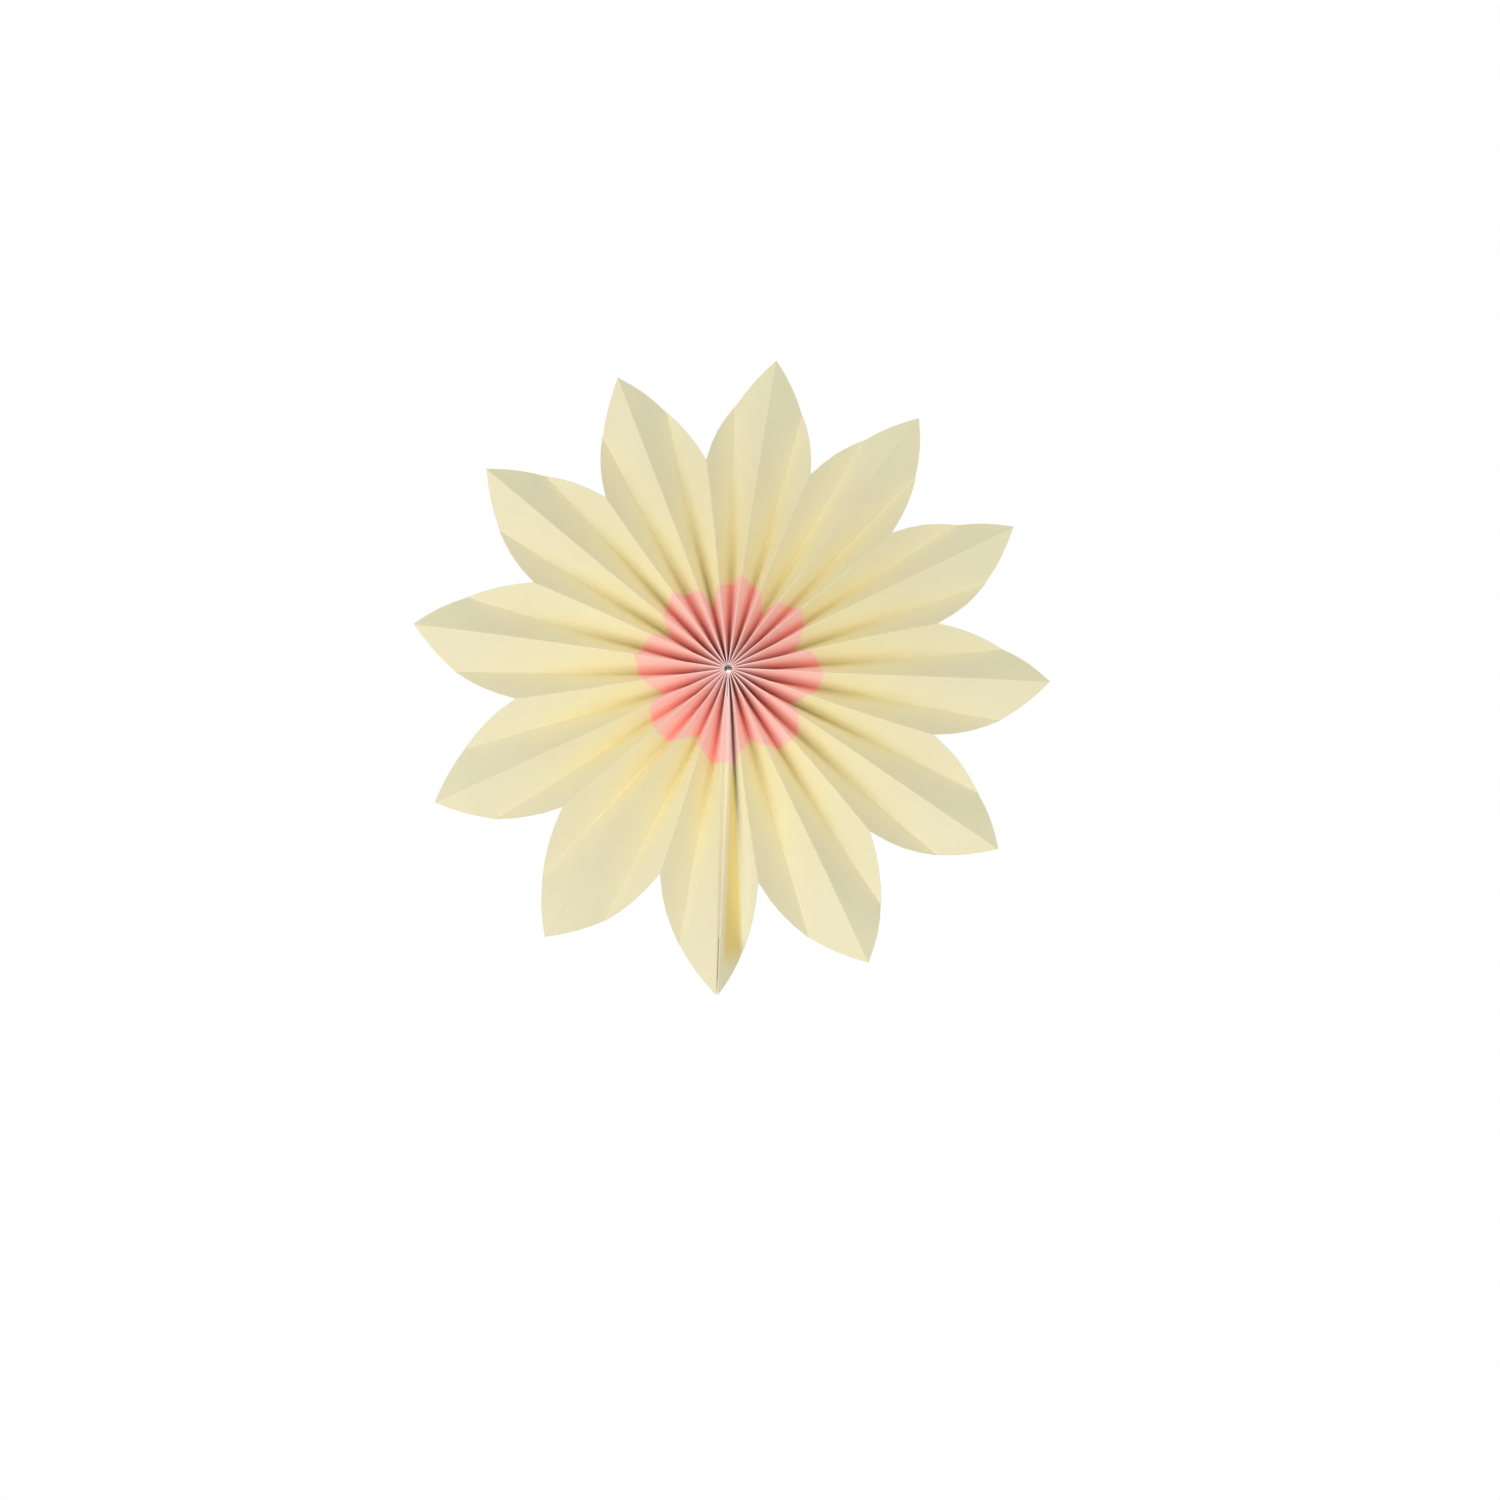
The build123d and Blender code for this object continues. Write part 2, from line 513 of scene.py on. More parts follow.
    def crease_edge(self, fold: int, reach: np.ndarray, facing: np.ndarray) -> np.ndarray:
        """Points on a crease where the paper faces the given way."""
        radius = crest(fold) * self.bend_radius(fold, reach)
        return self.crease_centre(fold, reach) + radius[:, None] * facing

    def bulge(self, panel: int, share: np.ndarray, reach: np.ndarray) -> np.ndarray:
        """How far a panel stands proud of its straight line, as paper that has been handled does.

        Args:
            panel: The panel's number.
            share: Share of the way across it at each row.
            reach: Distances from the hub.

        Returns:
            One height a row.
        """
        how = self.handling
        bow = how.bow * sin(how.bow_step * panel + how.bow_start)
        ripple = how.ripple * np.sin(tau * reach / how.ripple_length + how.ripple_step * panel)
        return (bow + ripple) * np.sin(pi * share) * how.growth(reach)

    def middle_and_facing(self, line: Line) -> tuple[np.ndarray, np.ndarray]:
        """Points in the middle of the paper's thickness along one line, and which way the print faces.

        Args:
            line: The line.

        Returns:
            The points and the directions, one a row, both of the same length.
        """
        reach, at = self.reaches(line), self.places_at(line)
        if line.stretch is Stretch.CREASE:
            beside = line.start - 1 if line.at < 0 else line.start
            facing = self.facing(beside, reach, abs(line.at))
            return self.crease_edge(line.start, reach, facing), facing
        if line.stretch is Stretch.PANEL:
            facing = self.facing(line.start, reach)
            start = self.crease_edge(line.start, reach, facing)
            end = self.crease_edge(line.start + 1, reach, facing)
            middle = start + at[:, None] * (end - start)
            return middle + self.bulge(line.start, at, reach)[:, None] * facing, facing
        way = -1 if line.start == 0 else 1
        facing = np.tile(way * self.fan.beside(line.start), (len(reach), 1))
        height = self.fan.lift(line.start, reach) - at
        middle = self.fan.place(line.start, reach, way * self.fan.crease / 2, height)
        if line.at == self.fan.tape_margin:
            above = self.facing(-1 if way < 0 else self.fan.panels, reach)
            facing = (facing + above) / (1 + np.sum(facing * above, axis=1))[:, None]
        return middle, facing

    def folded(self, line: Line, side: float) -> np.ndarray:
        """Points of one line on one side of the folded paper.

        Args:
            line: The line.
            side: The side, as a share of the paper's thickness from its middle.

        Returns:
            One point a row, the first on the eye's rim.
        """
        middle, facing = self.middle_and_facing(line)
        points = middle + side * self.fan.paper * facing
        eye = points[0]
        eye[[0, 2]] *= self.fan.eye_radius / hypot(eye[0], eye[2])
        return points

    # Modelling

    @property
    def grid_steps(self) -> tuple[int, int]:
        """Steps of the flat sheet's grid, from line to line and from row to row."""
        return len(self.lines) - 1, len(self.hub_rows) + self.rim_rows - 1

    def flat_sheet(self) -> bpy.types.Object:
        """Makes the flat strip: a closed sheet, a grid step for each line and row and one unit thick.

        The middle point of each punched hole is taken out of the grid.

        Returns:
            The sheet, with its thickness still a modifier.
        """
        columns, rows = self.grid_steps
        bpy.ops.object.select_all(action="DESELECT")
        bpy.ops.mesh.primitive_grid_add(x_subdivisions=columns, y_subdivisions=rows, size=2)
        sheet = bpy.context.object
        sheet.name = sheet.data.name = "folded_paper"
        sheet.data.uv_layers.active.name = SHEET_UV
        bpy.ops.object.mode_set(mode="EDIT")
        bpy.ops.mesh.select_all(action="DESELECT")
        bpy.ops.mesh.select_mode(type="VERT")
        bpy.ops.object.mode_set(mode="OBJECT")
        for vertex in sheet.data.vertices:
            column, row = self.grid_place(vertex.co)
            vertex.select = row == self.punched_row and self.is_hole_middle(column)
        bpy.ops.object.mode_set(mode="EDIT")
        bpy.ops.mesh.delete(type="VERT")
        bpy.ops.object.mode_set(mode="OBJECT")
        thickness = sheet.modifiers.new("Thickness", "SOLIDIFY")
        thickness.thickness = 1
        thickness.offset = 0
        thickness.material_offset = Face.PLAIN.value
        thickness.material_offset_rim = Face.CUT.value
        return sheet

    def grid_place(self, point: Vector) -> tuple[int, int]:
        """Line and row of a point of the flat sheet, whose lines run from right to left."""
        columns, rows = self.grid_steps
        return round((1 - point.x) / 2 * columns), round((1 + point.y) / 2 * rows)

    def is_hole_middle(self, column: int) -> bool:
        """Whether a line runs through the middle of a punched hole.

        Args:
            column: The line's number.

        Returns:
            True where the lines on both sides run beside the hole.
        """
        if not 0 < column < len(self.lines) - 1:
            return False
        return self.lines[column - 1].punch != 0 and self.lines[column + 1].punch != 0

    def build(self, finishes: list[bpy.types.Material]) -> bpy.types.Object:
        """Draws the strip flat, folds it and dresses it.

        Args:
            finishes: The materials of the printed side, the plain side and the cut edge.

        Returns:
            The finished piece.
        """
        sheet = self.flat_sheet()
        for finish in finishes:
            sheet.data.materials.append(finish)
        bpy.ops.object.modifier_apply(modifier="Thickness")
        printed = [self.folded(line, self.printed_side) for line in self.lines]
        plain = [self.folded(line, self.plain_side) for line in self.lines]
        places = [self.strip_place(line) for line in self.lines]
        reaches = [self.reaches(line) for line in self.lines]
        on_sheet = []
        for vertex in sheet.data.vertices:
            column, row = self.grid_place(vertex.co)
            side = printed if vertex.co.z > 0 else plain
            vertex.co = side[column][row]
            on_sheet.append(sheet_uv(places[column], reaches[column][row], self.fan.panels))
        for corner in sheet.data.loops:
            sheet.data.uv_layers[SHEET_UV].data[corner.index].uv = on_sheet[corner.vertex_index]
        bpy.ops.object.shade_smooth_by_angle(angle=radians(self.smooth_below))
        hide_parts(self.node)
        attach(sheet, BODY)
        return sheet


def crest(fold: int) -> int:
    """1 for a ridge, which points to the front, and -1 for a valley."""
    return 1 if fold % 2 == 0 else -1


# Scale of the sheet's UV, the ridge value of a valley and how far the fibres vary the roughness
UV_REACH = 200 * MM
SPARE_PANELS = 1.0
VALLEY = -1.0
PAPER_GRAIN = 0.1


def sheet_uv(place: float, reach: float, panels: int) -> tuple[float, float]:
    """Place on the flat strip as a UV: a spare panel's width is left free at each end."""
    return (place + SPARE_PANELS) / (panels + 2 * SPARE_PANELS), reach / UV_REACH


# Finishes


class Wiring:
    """Adds the nodes of one material, world or group, and links them."""

    def __init__(self, tree: bpy.types.NodeTree) -> None:
        """Starts with an empty tree."""
        self.tree = tree
        tree.nodes.clear()

    def node(
        self, kind: str, inputs: dict[str | int, object] | None = None, **settings: object,
    ) -> bpy.types.Node:
        """Adds a node.

        Args:
            kind: Its type, without the leading ShaderNode.
            inputs: What each input is linked to or set to.
            settings: Its own properties.

        Returns:
            The node.
        """
        made = self.tree.nodes.new(f"ShaderNode{kind}")
        for name, value in settings.items():
            setattr(made, name, value)
        for name, value in (inputs or {}).items():
            self.feed(made.inputs[name], value)
        return made

    def feed(self, socket: bpy.types.NodeSocket, value: object) -> None:
        """Links a socket to another one, or sets it to a plain value.

        Args:
            socket: The input.
            value: What feeds it.
        """
        if isinstance(value, bpy.types.NodeSocket):
            self.tree.links.new(value, socket)
        else:
            socket.default_value = value

    def calc(self, operation: str, *terms: object, clamp: bool = False) -> bpy.types.NodeSocket:
        """One Math node's result."""
        return self.node("Math", dict(enumerate(terms)), operation=operation, use_clamp=clamp).outputs[0]

    def ramp(
        self, value: object, low: object, high: object, out_low: float = 0, out_high: float = 1,
    ) -> bpy.types.NodeSocket:
        """A value's smooth rise from one number to another, as it passes from low to high."""
        inputs = {"Value": value, "From Min": low, "From Max": high, "To Min": out_low, "To Max": out_high}
        return self.node("MapRange", inputs, interpolation_type="SMOOTHSTEP").outputs["Result"]

    def bump(self, height: object, strength: float, distance: float) -> bpy.types.NodeSocket:
        """Normal of a surface with this relief."""
        inputs = {"Strength": strength, "Distance": distance, "Height": height}
        return self.node("Bump", inputs).outputs["Normal"]

    def blend(self, share: object, first: object, second: object, how: str = "MIX") -> bpy.types.NodeSocket:
        """Colour between two colours.

        Args:
            share: 0 for the first colour, 1 for the second.
            first: The first colour.
            second: The second colour.
            how: Blend type.

        Returns:
            The colour.
        """
        mix = self.node("Mix", data_type="RGBA", blend_type=how)
        for name, value in (("Factor_Float", share), ("A_Color", first), ("B_Color", second)):
            self.feed(next(s for s in mix.inputs if s.identifier == name), value)
        return next(s for s in mix.outputs if s.identifier == "Result_Color")

    def group(self, tree: bpy.types.NodeTree, inputs: dict[str, object]) -> bpy.types.Node:
        """Places a node group.

        Args:
            tree: The group.
            inputs: What each input is linked to or set to.

        Returns:
            The node that holds it.
        """
        made = self.tree.nodes.new("ShaderNodeGroup")
        made.node_tree = tree
        for name, value in inputs.items():
            self.feed(made.inputs[name], value)
        return made


def new_group(
    name: str, inputs: dict[str, float], outputs: tuple[str, ...],
) -> tuple[Wiring, bpy.types.Node, bpy.types.Node]:
    """A node group with number sockets.

    Args:
        name: The group's name.
        inputs: Its inputs and their plain values.
        outputs: Its outputs.

    Returns:
        Its wiring, its input node and its output node.
    """
    tree = bpy.data.node_groups.new(name, "ShaderNodeTree")
    for label, value in inputs.items():
        tree.interface.new_socket(label, in_out="INPUT", socket_type="NodeSocketFloat").default_value = value
    for label in outputs:
        tree.interface.new_socket(label, in_out="OUTPUT", socket_type="NodeSocketFloat")
    wiring = Wiring(tree)
    return wiring, tree.nodes.new("NodeGroupInput"), tree.nodes.new("NodeGroupOutput")


def paper_fibre() -> bpy.types.NodeTree:
    """Group: the felt of fine fibres in paper, as a shade around 1 and a relief from 0 to 1.

    Returns:
        The group.
    """
    inputs = {"Fineness": 1400.0, "Cloudiness": 90.0, "Strength": 0.04}
    wiring, given, result = new_group("paper_fibre", inputs, ("Shade", "Relief"))
    place = wiring.node("TexCoord").outputs["Object"]
    fine = {"Vector": place, "Scale": given.outputs["Fineness"], "Detail": 4.0, "Roughness": 0.6}
    fibre = wiring.node("TexNoise", fine)
    cloud = wiring.node("TexNoise", {"Vector": place, "Scale": given.outputs["Cloudiness"], "Detail": 3.0})
    both = wiring.calc("ADD", fibre.outputs["Fac"], cloud.outputs["Fac"])
    swing = wiring.calc("MULTIPLY", wiring.calc("SUBTRACT", both, 1.0), given.outputs["Strength"])
    wiring.feed(result.inputs["Shade"], wiring.calc("ADD", swing, 1.0))
    wiring.feed(result.inputs["Relief"], fibre.outputs["Fac"])
    return wiring.tree


def crease_wear(panel_width: float) -> bpy.types.NodeTree:
    """Group: a mask of the lines where the paper was creased, broken up as worn print is.

    Args:
        panel_width: Distance between two folds on the flat strip.

    Returns:
        The group.
    """
    inputs = {"Panels": 0.0, "Width": 0.4 * MM}
    wiring, given, result = new_group("crease_wear", inputs, ("Mask",))
    panels = given.outputs["Panels"]
    off_fold = wiring.calc("ABSOLUTE", wiring.calc("SUBTRACT", panels, wiring.calc("ROUND", panels)))
    distance = wiring.calc("MULTIPLY", off_fold, panel_width)
    line = wiring.ramp(distance, 0.0, given.outputs["Width"], 1, 0)
    place = wiring.node("TexCoord").outputs["Object"]
    patches = wiring.node("TexNoise", {"Vector": place, "Scale": 420.0, "Detail": 2.0})
    thin_patch, thick_patch, faintest = 0.3, 0.7, 0.7
    broken = wiring.ramp(patches.outputs["Fac"], thin_patch, thick_patch, faintest, 1)
    wiring.feed(result.inputs["Mask"], wiring.calc("MULTIPLY", line, broken))
    return wiring.tree


Colour = tuple[float, float, float, float]


@dataclass(frozen=True)
class PaperGroups:
    """The node groups that the paper's finishes share."""

    fibre: bpy.types.NodeTree
    wear: bpy.types.NodeTree


def new_material(name: str) -> tuple[bpy.types.Material, Wiring]:
    """Makes an empty material.

    Args:
        name: The material's name.

    Returns:
        The material and its wiring.
    """
    material = bpy.data.materials.new(name)
    material.use_nodes = True
    return material, Wiring(material.node_tree)


def finish_surface(wiring: Wiring, colour: object, roughness: object, normal: object, gloss: float) -> None:
    """Adds a material's shader and its output.

    Args:
        wiring: The material's wiring.
        colour: Its base colour.
        roughness: Its roughness.
        normal: Its relief.
        gloss: Its specular level.
    """
    inputs = {"Base Color": colour, "Roughness": roughness, "Specular IOR Level": gloss, "Normal": normal}
    wiring.node("OutputMaterial", {"Surface": wiring.node("BsdfPrincipled", inputs).outputs["BSDF"]})


def read_sheet(wiring: Wiring) -> bpy.types.Node:
    """The piece's own flat UV, split into its place along the strip (X) and its reach (Y)."""
    return wiring.node("SeparateXYZ", {0: wiring.node("UVMap", uv_map=SHEET_UV).outputs["UV"]})


def panels_along(wiring: Wiring, sheet: bpy.types.Node, panels: int) -> bpy.types.NodeSocket:
    """Place along the strip in panels from the seam's first fold, read back from the flat UV."""
    return wiring.calc("MULTIPLY_ADD", sheet.outputs["X"], panels + 2 * SPARE_PANELS, -SPARE_PANELS)


def grained(wiring: Wiring, fibre: bpy.types.Node, roughness: float) -> bpy.types.NodeSocket:
    """Roughness of paper, which its fibres vary a little."""
    return wiring.calc("MULTIPLY_ADD", fibre.outputs["Relief"], PAPER_GRAIN, roughness - PAPER_GRAIN / 2)


@dataclass(frozen=True)
class PrintedPaper:
    """Pale yellow paper with a printed pink centre, whose edge runs in scallops round the hub."""

    panels: int
    yellow: Colour = (0.87, 0.785, 0.47, 1)
    tip_yellow: Colour = (0.77, 0.715, 0.48, 1)
    pink: Colour = (0.97, 0.60, 0.53, 1)
    # Painted shade: the print turns darker and more saturated towards the valley folds, where the pleats
    # shade it.
    valley_shade_yellow: Colour = (0.835, 0.74, 0.42, 1)
    valley_shade_pink: Colour = (0.99, 0.50, 0.43, 1)
    # Painted shade: the narrow, steep panel beside the seam is painted a warm yellow-brown for the shade and
    # bounced light deep in its tight pleat.
    seam_panel_shade: Colour = (0.78, 0.60, 0.20, 1)
    creased: Colour = (0.93, 0.88, 0.84, 1)
    rubbed: Colour = (0.99, 0.73, 0.70, 1)
    white: Colour = (1, 1, 1, 1)
    lobe_panels: float = 6.0
    first_dip: float = 3.0
    dip_reach: float = 37 * MM
    lobe_reach: float = 51.5 * MM
    lobe_roundness: float = 0.7
    print_edge: float = 1.3 * MM
    bleed: float = 1.6 * MM
    bleed_fineness: float = 130.0
    # How far from the valley folds the painted valley shade reaches, in ridge values from -1 in a valley to 1
    # on a ridge.
    valley_shade_pink_until: float = 0.2
    valley_shade_yellow_until: float = -0.3
    tips_from: float = 45 * MM
    tips_to: float = 130 * MM
    # Reaches over which the painted valley shade on the yellow fades out as the valleys open.
    valleys_open_from: float = 50 * MM
    valleys_open_to: float = 120 * MM
    rubbed_to: float = 6 * MM
    print_from: float = 24 * MM
    rubbed_in_valleys: float = 0.6
    rubbed_on_ridges: float = 0.85
    # Where the painted shade of the seam panel lies across the strip and along its reach.
    seam_panel_shade_begins: tuple[float, float] = (0.05, 0.25)
    seam_panel_shade_ends: tuple[float, float] = (0.75, 1.0)
    seam_panel_shade_from: float = 38 * MM
    seam_panel_shade_full: float = 62 * MM
    seam_panel_shade_fades: float = 148 * MM
    seam_panel_shade_to: float = 165 * MM
    roughness: float = 0.8
    gloss: float = 0.2
    wear: float = 0.75
    glow: float = 0.6
    squeezed_panels: float = 2.0
    squeeze_eases: float = 0.2
    squeezed_glow: float = 0.95

    def material(self, groups: PaperGroups) -> bpy.types.Material:
        """Builds the material from the piece's own flat UV.

        Args:
            groups: The shared node groups.

        Returns:
            The material.
        """
        material, wiring = new_material("printed_paper_face")
        sheet = read_sheet(wiring)
        panels = panels_along(wiring, sheet, self.panels)
        reach = wiring.calc("MULTIPLY", sheet.outputs["Y"], UV_REACH)
        fibre = wiring.group(groups.fibre, {"Fineness": 1500.0, "Cloudiness": 70.0, "Strength": 0.035})
        wear = wiring.group(groups.wear, {"Panels": panels, "Width": 0.35 * MM})
        ridge = wiring.calc("COSINE", wiring.calc("MULTIPLY", panels, pi))
        # The print with the painted shade in the valleys and on the panel beside the seam.
        printed = self.print_and_shade_colour(wiring, panels, reach, ridge)
        on_ridges = wiring.calc("MULTIPLY", ridge, self.wear, clamp=True)
        creased = wiring.calc("MULTIPLY", wear.outputs["Mask"], on_ridges)
        worn = wiring.blend(creased, printed, self.creased, "MULTIPLY")
        rubbing = wiring.ramp(ridge, VALLEY, 0.0, self.rubbed_in_valleys, self.rubbed_on_ridges)
        near_hub = wiring.ramp(reach, self.rubbed_to, self.print_from, 1, 0)
        rubbed = wiring.blend(wiring.calc("MULTIPLY", rubbing, near_hub), worn, self.rubbed)
        colour = wiring.blend(1.0, rubbed, fibre.outputs["Shade"], "MULTIPLY")
        bounced = wiring.node("LightPath").outputs["Is Diffuse Ray"]
        glow = wiring.calc("MULTIPLY", bounced, self.glow_at(wiring, panels))
        normal = wiring.bump(fibre.outputs["Relief"], 0.35, 0.03 * MM)
        lit = wiring.blend(glow, colour, self.white)
        finish_surface(wiring, lit, grained(wiring, fibre, self.roughness), normal, self.gloss)
        return material

    def glow_at(self, wiring: Wiring, panels: object) -> bpy.types.NodeSocket:
        """How white the paper is for bounced light: whiter on the squeezed panels beside the seam."""
        eased = self.squeezed_panels - self.squeeze_eases
        return wiring.ramp(panels, eased, self.squeezed_panels, self.squeezed_glow, self.glow)

    def print_and_shade_colour(
        self, wiring: Wiring, panels: object, reach: object, ridge: object,
    ) -> bpy.types.NodeSocket:
        """Colour of the print, with painted shade that darkens it in the valleys and on the narrow panel
        beside the seam.

        Args:
            wiring: The material's wiring.
            panels: Place along the strip, in panels from the seam.
            reach: Distance from the hub.
            ridge: 1 on a ridge and -1 in a valley.

        Returns:
            The colour.
        """
        # Painted shade: pink and yellow darken towards each valley fold, the yellow only where the valleys
        # are still narrow.
        pink_valley_shade = wiring.ramp(ridge, VALLEY, self.valley_shade_pink_until, 1, 0)
        pink = wiring.blend(pink_valley_shade, self.pink, self.valley_shade_pink)
        yellow_valley_shade = wiring.ramp(ridge, VALLEY, self.valley_shade_yellow_until, 1, 0)
        open_valley = wiring.ramp(reach, self.valleys_open_from, self.valleys_open_to, 1, 0)
        yellow = wiring.blend(wiring.ramp(reach, self.tips_from, self.tips_to), self.yellow, self.tip_yellow)
        yellow = wiring.blend(wiring.calc("MULTIPLY", yellow_valley_shade, open_valley), yellow, self.valley_shade_yellow)
        # Painted shade on the squeezed panel beside the seam, fading in near the hub and out towards its tip.
        beside_seam = wiring.calc(
            "MULTIPLY", wiring.ramp(panels, *self.seam_panel_shade_begins), wiring.ramp(panels, *self.seam_panel_shade_ends, 1, 0),
        )
        along = wiring.calc(
            "MULTIPLY", wiring.ramp(reach, self.seam_panel_shade_from, self.seam_panel_shade_full),
            wiring.ramp(reach, self.seam_panel_shade_fades, self.seam_panel_shade_to, 1, 0),
        )
        yellow = wiring.blend(wiring.calc("MULTIPLY", beside_seam, along), yellow, self.seam_panel_shade)
        return wiring.blend(self.centre_mask(wiring, panels, reach), yellow, pink)

    def centre_mask(self, wiring: Wiring, panels: object, reach: object) -> bpy.types.NodeSocket:
        """Mask of the scalloped pink centre.

        Args:
            wiring: The material's wiring.
            panels: Place along the strip, in panels from the seam.
            reach: Distance from the hub.

        Returns:
            1 inside the centre and 0 outside it.
        """
        from_dip = wiring.calc("SUBTRACT", panels, self.first_dip)
        phase = wiring.calc("FRACT", wiring.calc("DIVIDE", from_dip, self.lobe_panels))
        arch = wiring.calc("SINE", wiring.calc("MULTIPLY", phase, pi))
        lobe = wiring.calc("POWER", arch, self.lobe_roundness)
        edge = wiring.calc("MULTIPLY_ADD", lobe, self.lobe_reach - self.dip_reach, self.dip_reach)
        place = wiring.node("TexCoord").outputs["Object"]
        spread = wiring.node("TexNoise", {"Vector": place, "Scale": self.bleed_fineness})
        uneven = wiring.calc("MULTIPLY", wiring.calc("SUBTRACT", spread.outputs["Fac"], 0.5), self.bleed * 2)
        inside = wiring.calc("ADD", wiring.calc("SUBTRACT", edge, reach), uneven)
        return wiring.ramp(inside, -self.print_edge, self.print_edge)


@dataclass(frozen=True)
class PlainPaper:
    """The unprinted back of the paper, with the creases pressed into it."""

    panels: int
    white: Colour = (0.86, 0.845, 0.80, 1)
    pressed: Colour = (0.76, 0.74, 0.69, 1)
    pressing: float = 0.4
    roughness: float = 0.85
    gloss: float = 0.2

    def material(self, groups: PaperGroups) -> bpy.types.Material:
        """Builds the material from the piece's own flat UV.

        Args:
            groups: The shared node groups.

        Returns:
            The material.
        """
        material, wiring = new_material("plain_paper_back")
        panels = panels_along(wiring, read_sheet(wiring), self.panels)
        fibre = wiring.group(groups.fibre, {"Fineness": 1300.0, "Cloudiness": 60.0, "Strength": 0.05})
        wear = wiring.group(groups.wear, {"Panels": panels, "Width": 0.5 * MM})
        creased = wiring.calc("MULTIPLY", wear.outputs["Mask"], self.pressing)
        pressed = wiring.blend(creased, self.white, self.pressed)
        colour = wiring.blend(1.0, pressed, fibre.outputs["Shade"], "MULTIPLY")
        normal = wiring.bump(fibre.outputs["Relief"], 0.5, 0.04 * MM)
        finish_surface(wiring, colour, grained(wiring, fibre, self.roughness), normal, self.gloss)
        return material


@dataclass(frozen=True)
class CutEdge:
    """The paper's bare core, seen at every cut."""

    core: Colour = (0.88, 0.86, 0.80, 1)
    roughness: float = 0.92
    gloss: float = 0.15

    def material(self, groups: PaperGroups) -> bpy.types.Material:
        """Builds the material.

        Args:
            groups: The shared node groups.

        Returns:
            The material.
        """
        material, wiring = new_material("paper_cut_edge")
        fibre = wiring.group(groups.fibre, {"Fineness": 5000.0, "Cloudiness": 300.0, "Strength": 0.16})
        colour = wiring.blend(1.0, self.core, fibre.outputs["Shade"], "MULTIPLY")
        normal = wiring.bump(fibre.outputs["Relief"], 0.6, 0.03 * MM)
        finish_surface(wiring, colour, self.roughness, normal, self.gloss)
        return material


@dataclass(frozen=True)
class TapeFilm:
    """White double-sided tape, slightly rippled and darker grey in random blotches."""

    film: Colour = (0.80, 0.77, 0.74, 1)
    # The darker grey of the blotches.
    pressed: Colour = (0.68, 0.63, 0.61, 1)
    greyed: tuple[float, float] = (0.35, 0.7)
    matted: tuple[float, float] = (0.3, 0.7)
    smoothest: float = 0.38
    roughest: float = 0.55
    gloss: float = 0.4

    def material(self) -> bpy.types.Material:
        """Builds the material.

        Returns:
            The material.
        """
        material, wiring = new_material("adhesive_tape_film")
        place = wiring.node("TexCoord").outputs["Object"]
        blotches = wiring.node("TexNoise", {"Vector": place, "Scale": 160.0, "Detail": 3.0}).outputs["Fac"]
        ripple = wiring.node("TexWave", {"Vector": place, "Scale": 240.0, "Distortion": 3.0, "Detail": 1.0})
        colour = wiring.blend(wiring.ramp(blotches, *self.greyed), self.film, self.pressed)
        roughness = wiring.ramp(blotches, *self.matted, self.smoothest, self.roughest)
        normal = wiring.bump(ripple.outputs["Fac"], 0.3, 0.03 * MM)
        finish_surface(wiring, colour, roughness, normal, self.gloss)
        return material


@dataclass(frozen=True)
class CottonThread:
    """White cotton thread: fine fibres, darker between them."""

    cotton: Colour = (0.86, 0.84, 0.79, 1)
    between: Colour = (0.62, 0.58, 0.52, 1)
    shaded: tuple[float, float] = (0.45, 0.75)
    roughness: float = 0.9
    gloss: float = 0.2

    def material(self) -> bpy.types.Material:
        """Builds the material.

        Returns:
            The material.
        """
        material, wiring = new_material("cotton_thread")
        place = wiring.node("TexCoord").outputs["Object"]
        grain = {"Vector": place, "Scale": 9000.0, "Detail": 3.0, "Roughness": 0.7}
        fibres = wiring.node("TexNoise", grain).outputs["Fac"]
        colour = wiring.blend(wiring.ramp(fibres, *self.shaded), self.cotton, self.between)
        finish_surface(wiring, colour, self.roughness, wiring.bump(fibres, 0.7, 0.04 * MM), self.gloss)
        return material


# The tape and the thread


@dataclass(frozen=True)
class SeamTape:
    """The tape between the two end flaps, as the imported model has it."""

    node: str = "seam_tape"

    def dress(self, finish: bpy.types.Material) -> bpy.types.Object:
        """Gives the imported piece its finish.

        Args:
            finish: The tape's material.

        Returns:
            The piece.
        """
        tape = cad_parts[self.node]
        tape.data.materials.clear()
        tape.data.materials.append(finish)
        return tape


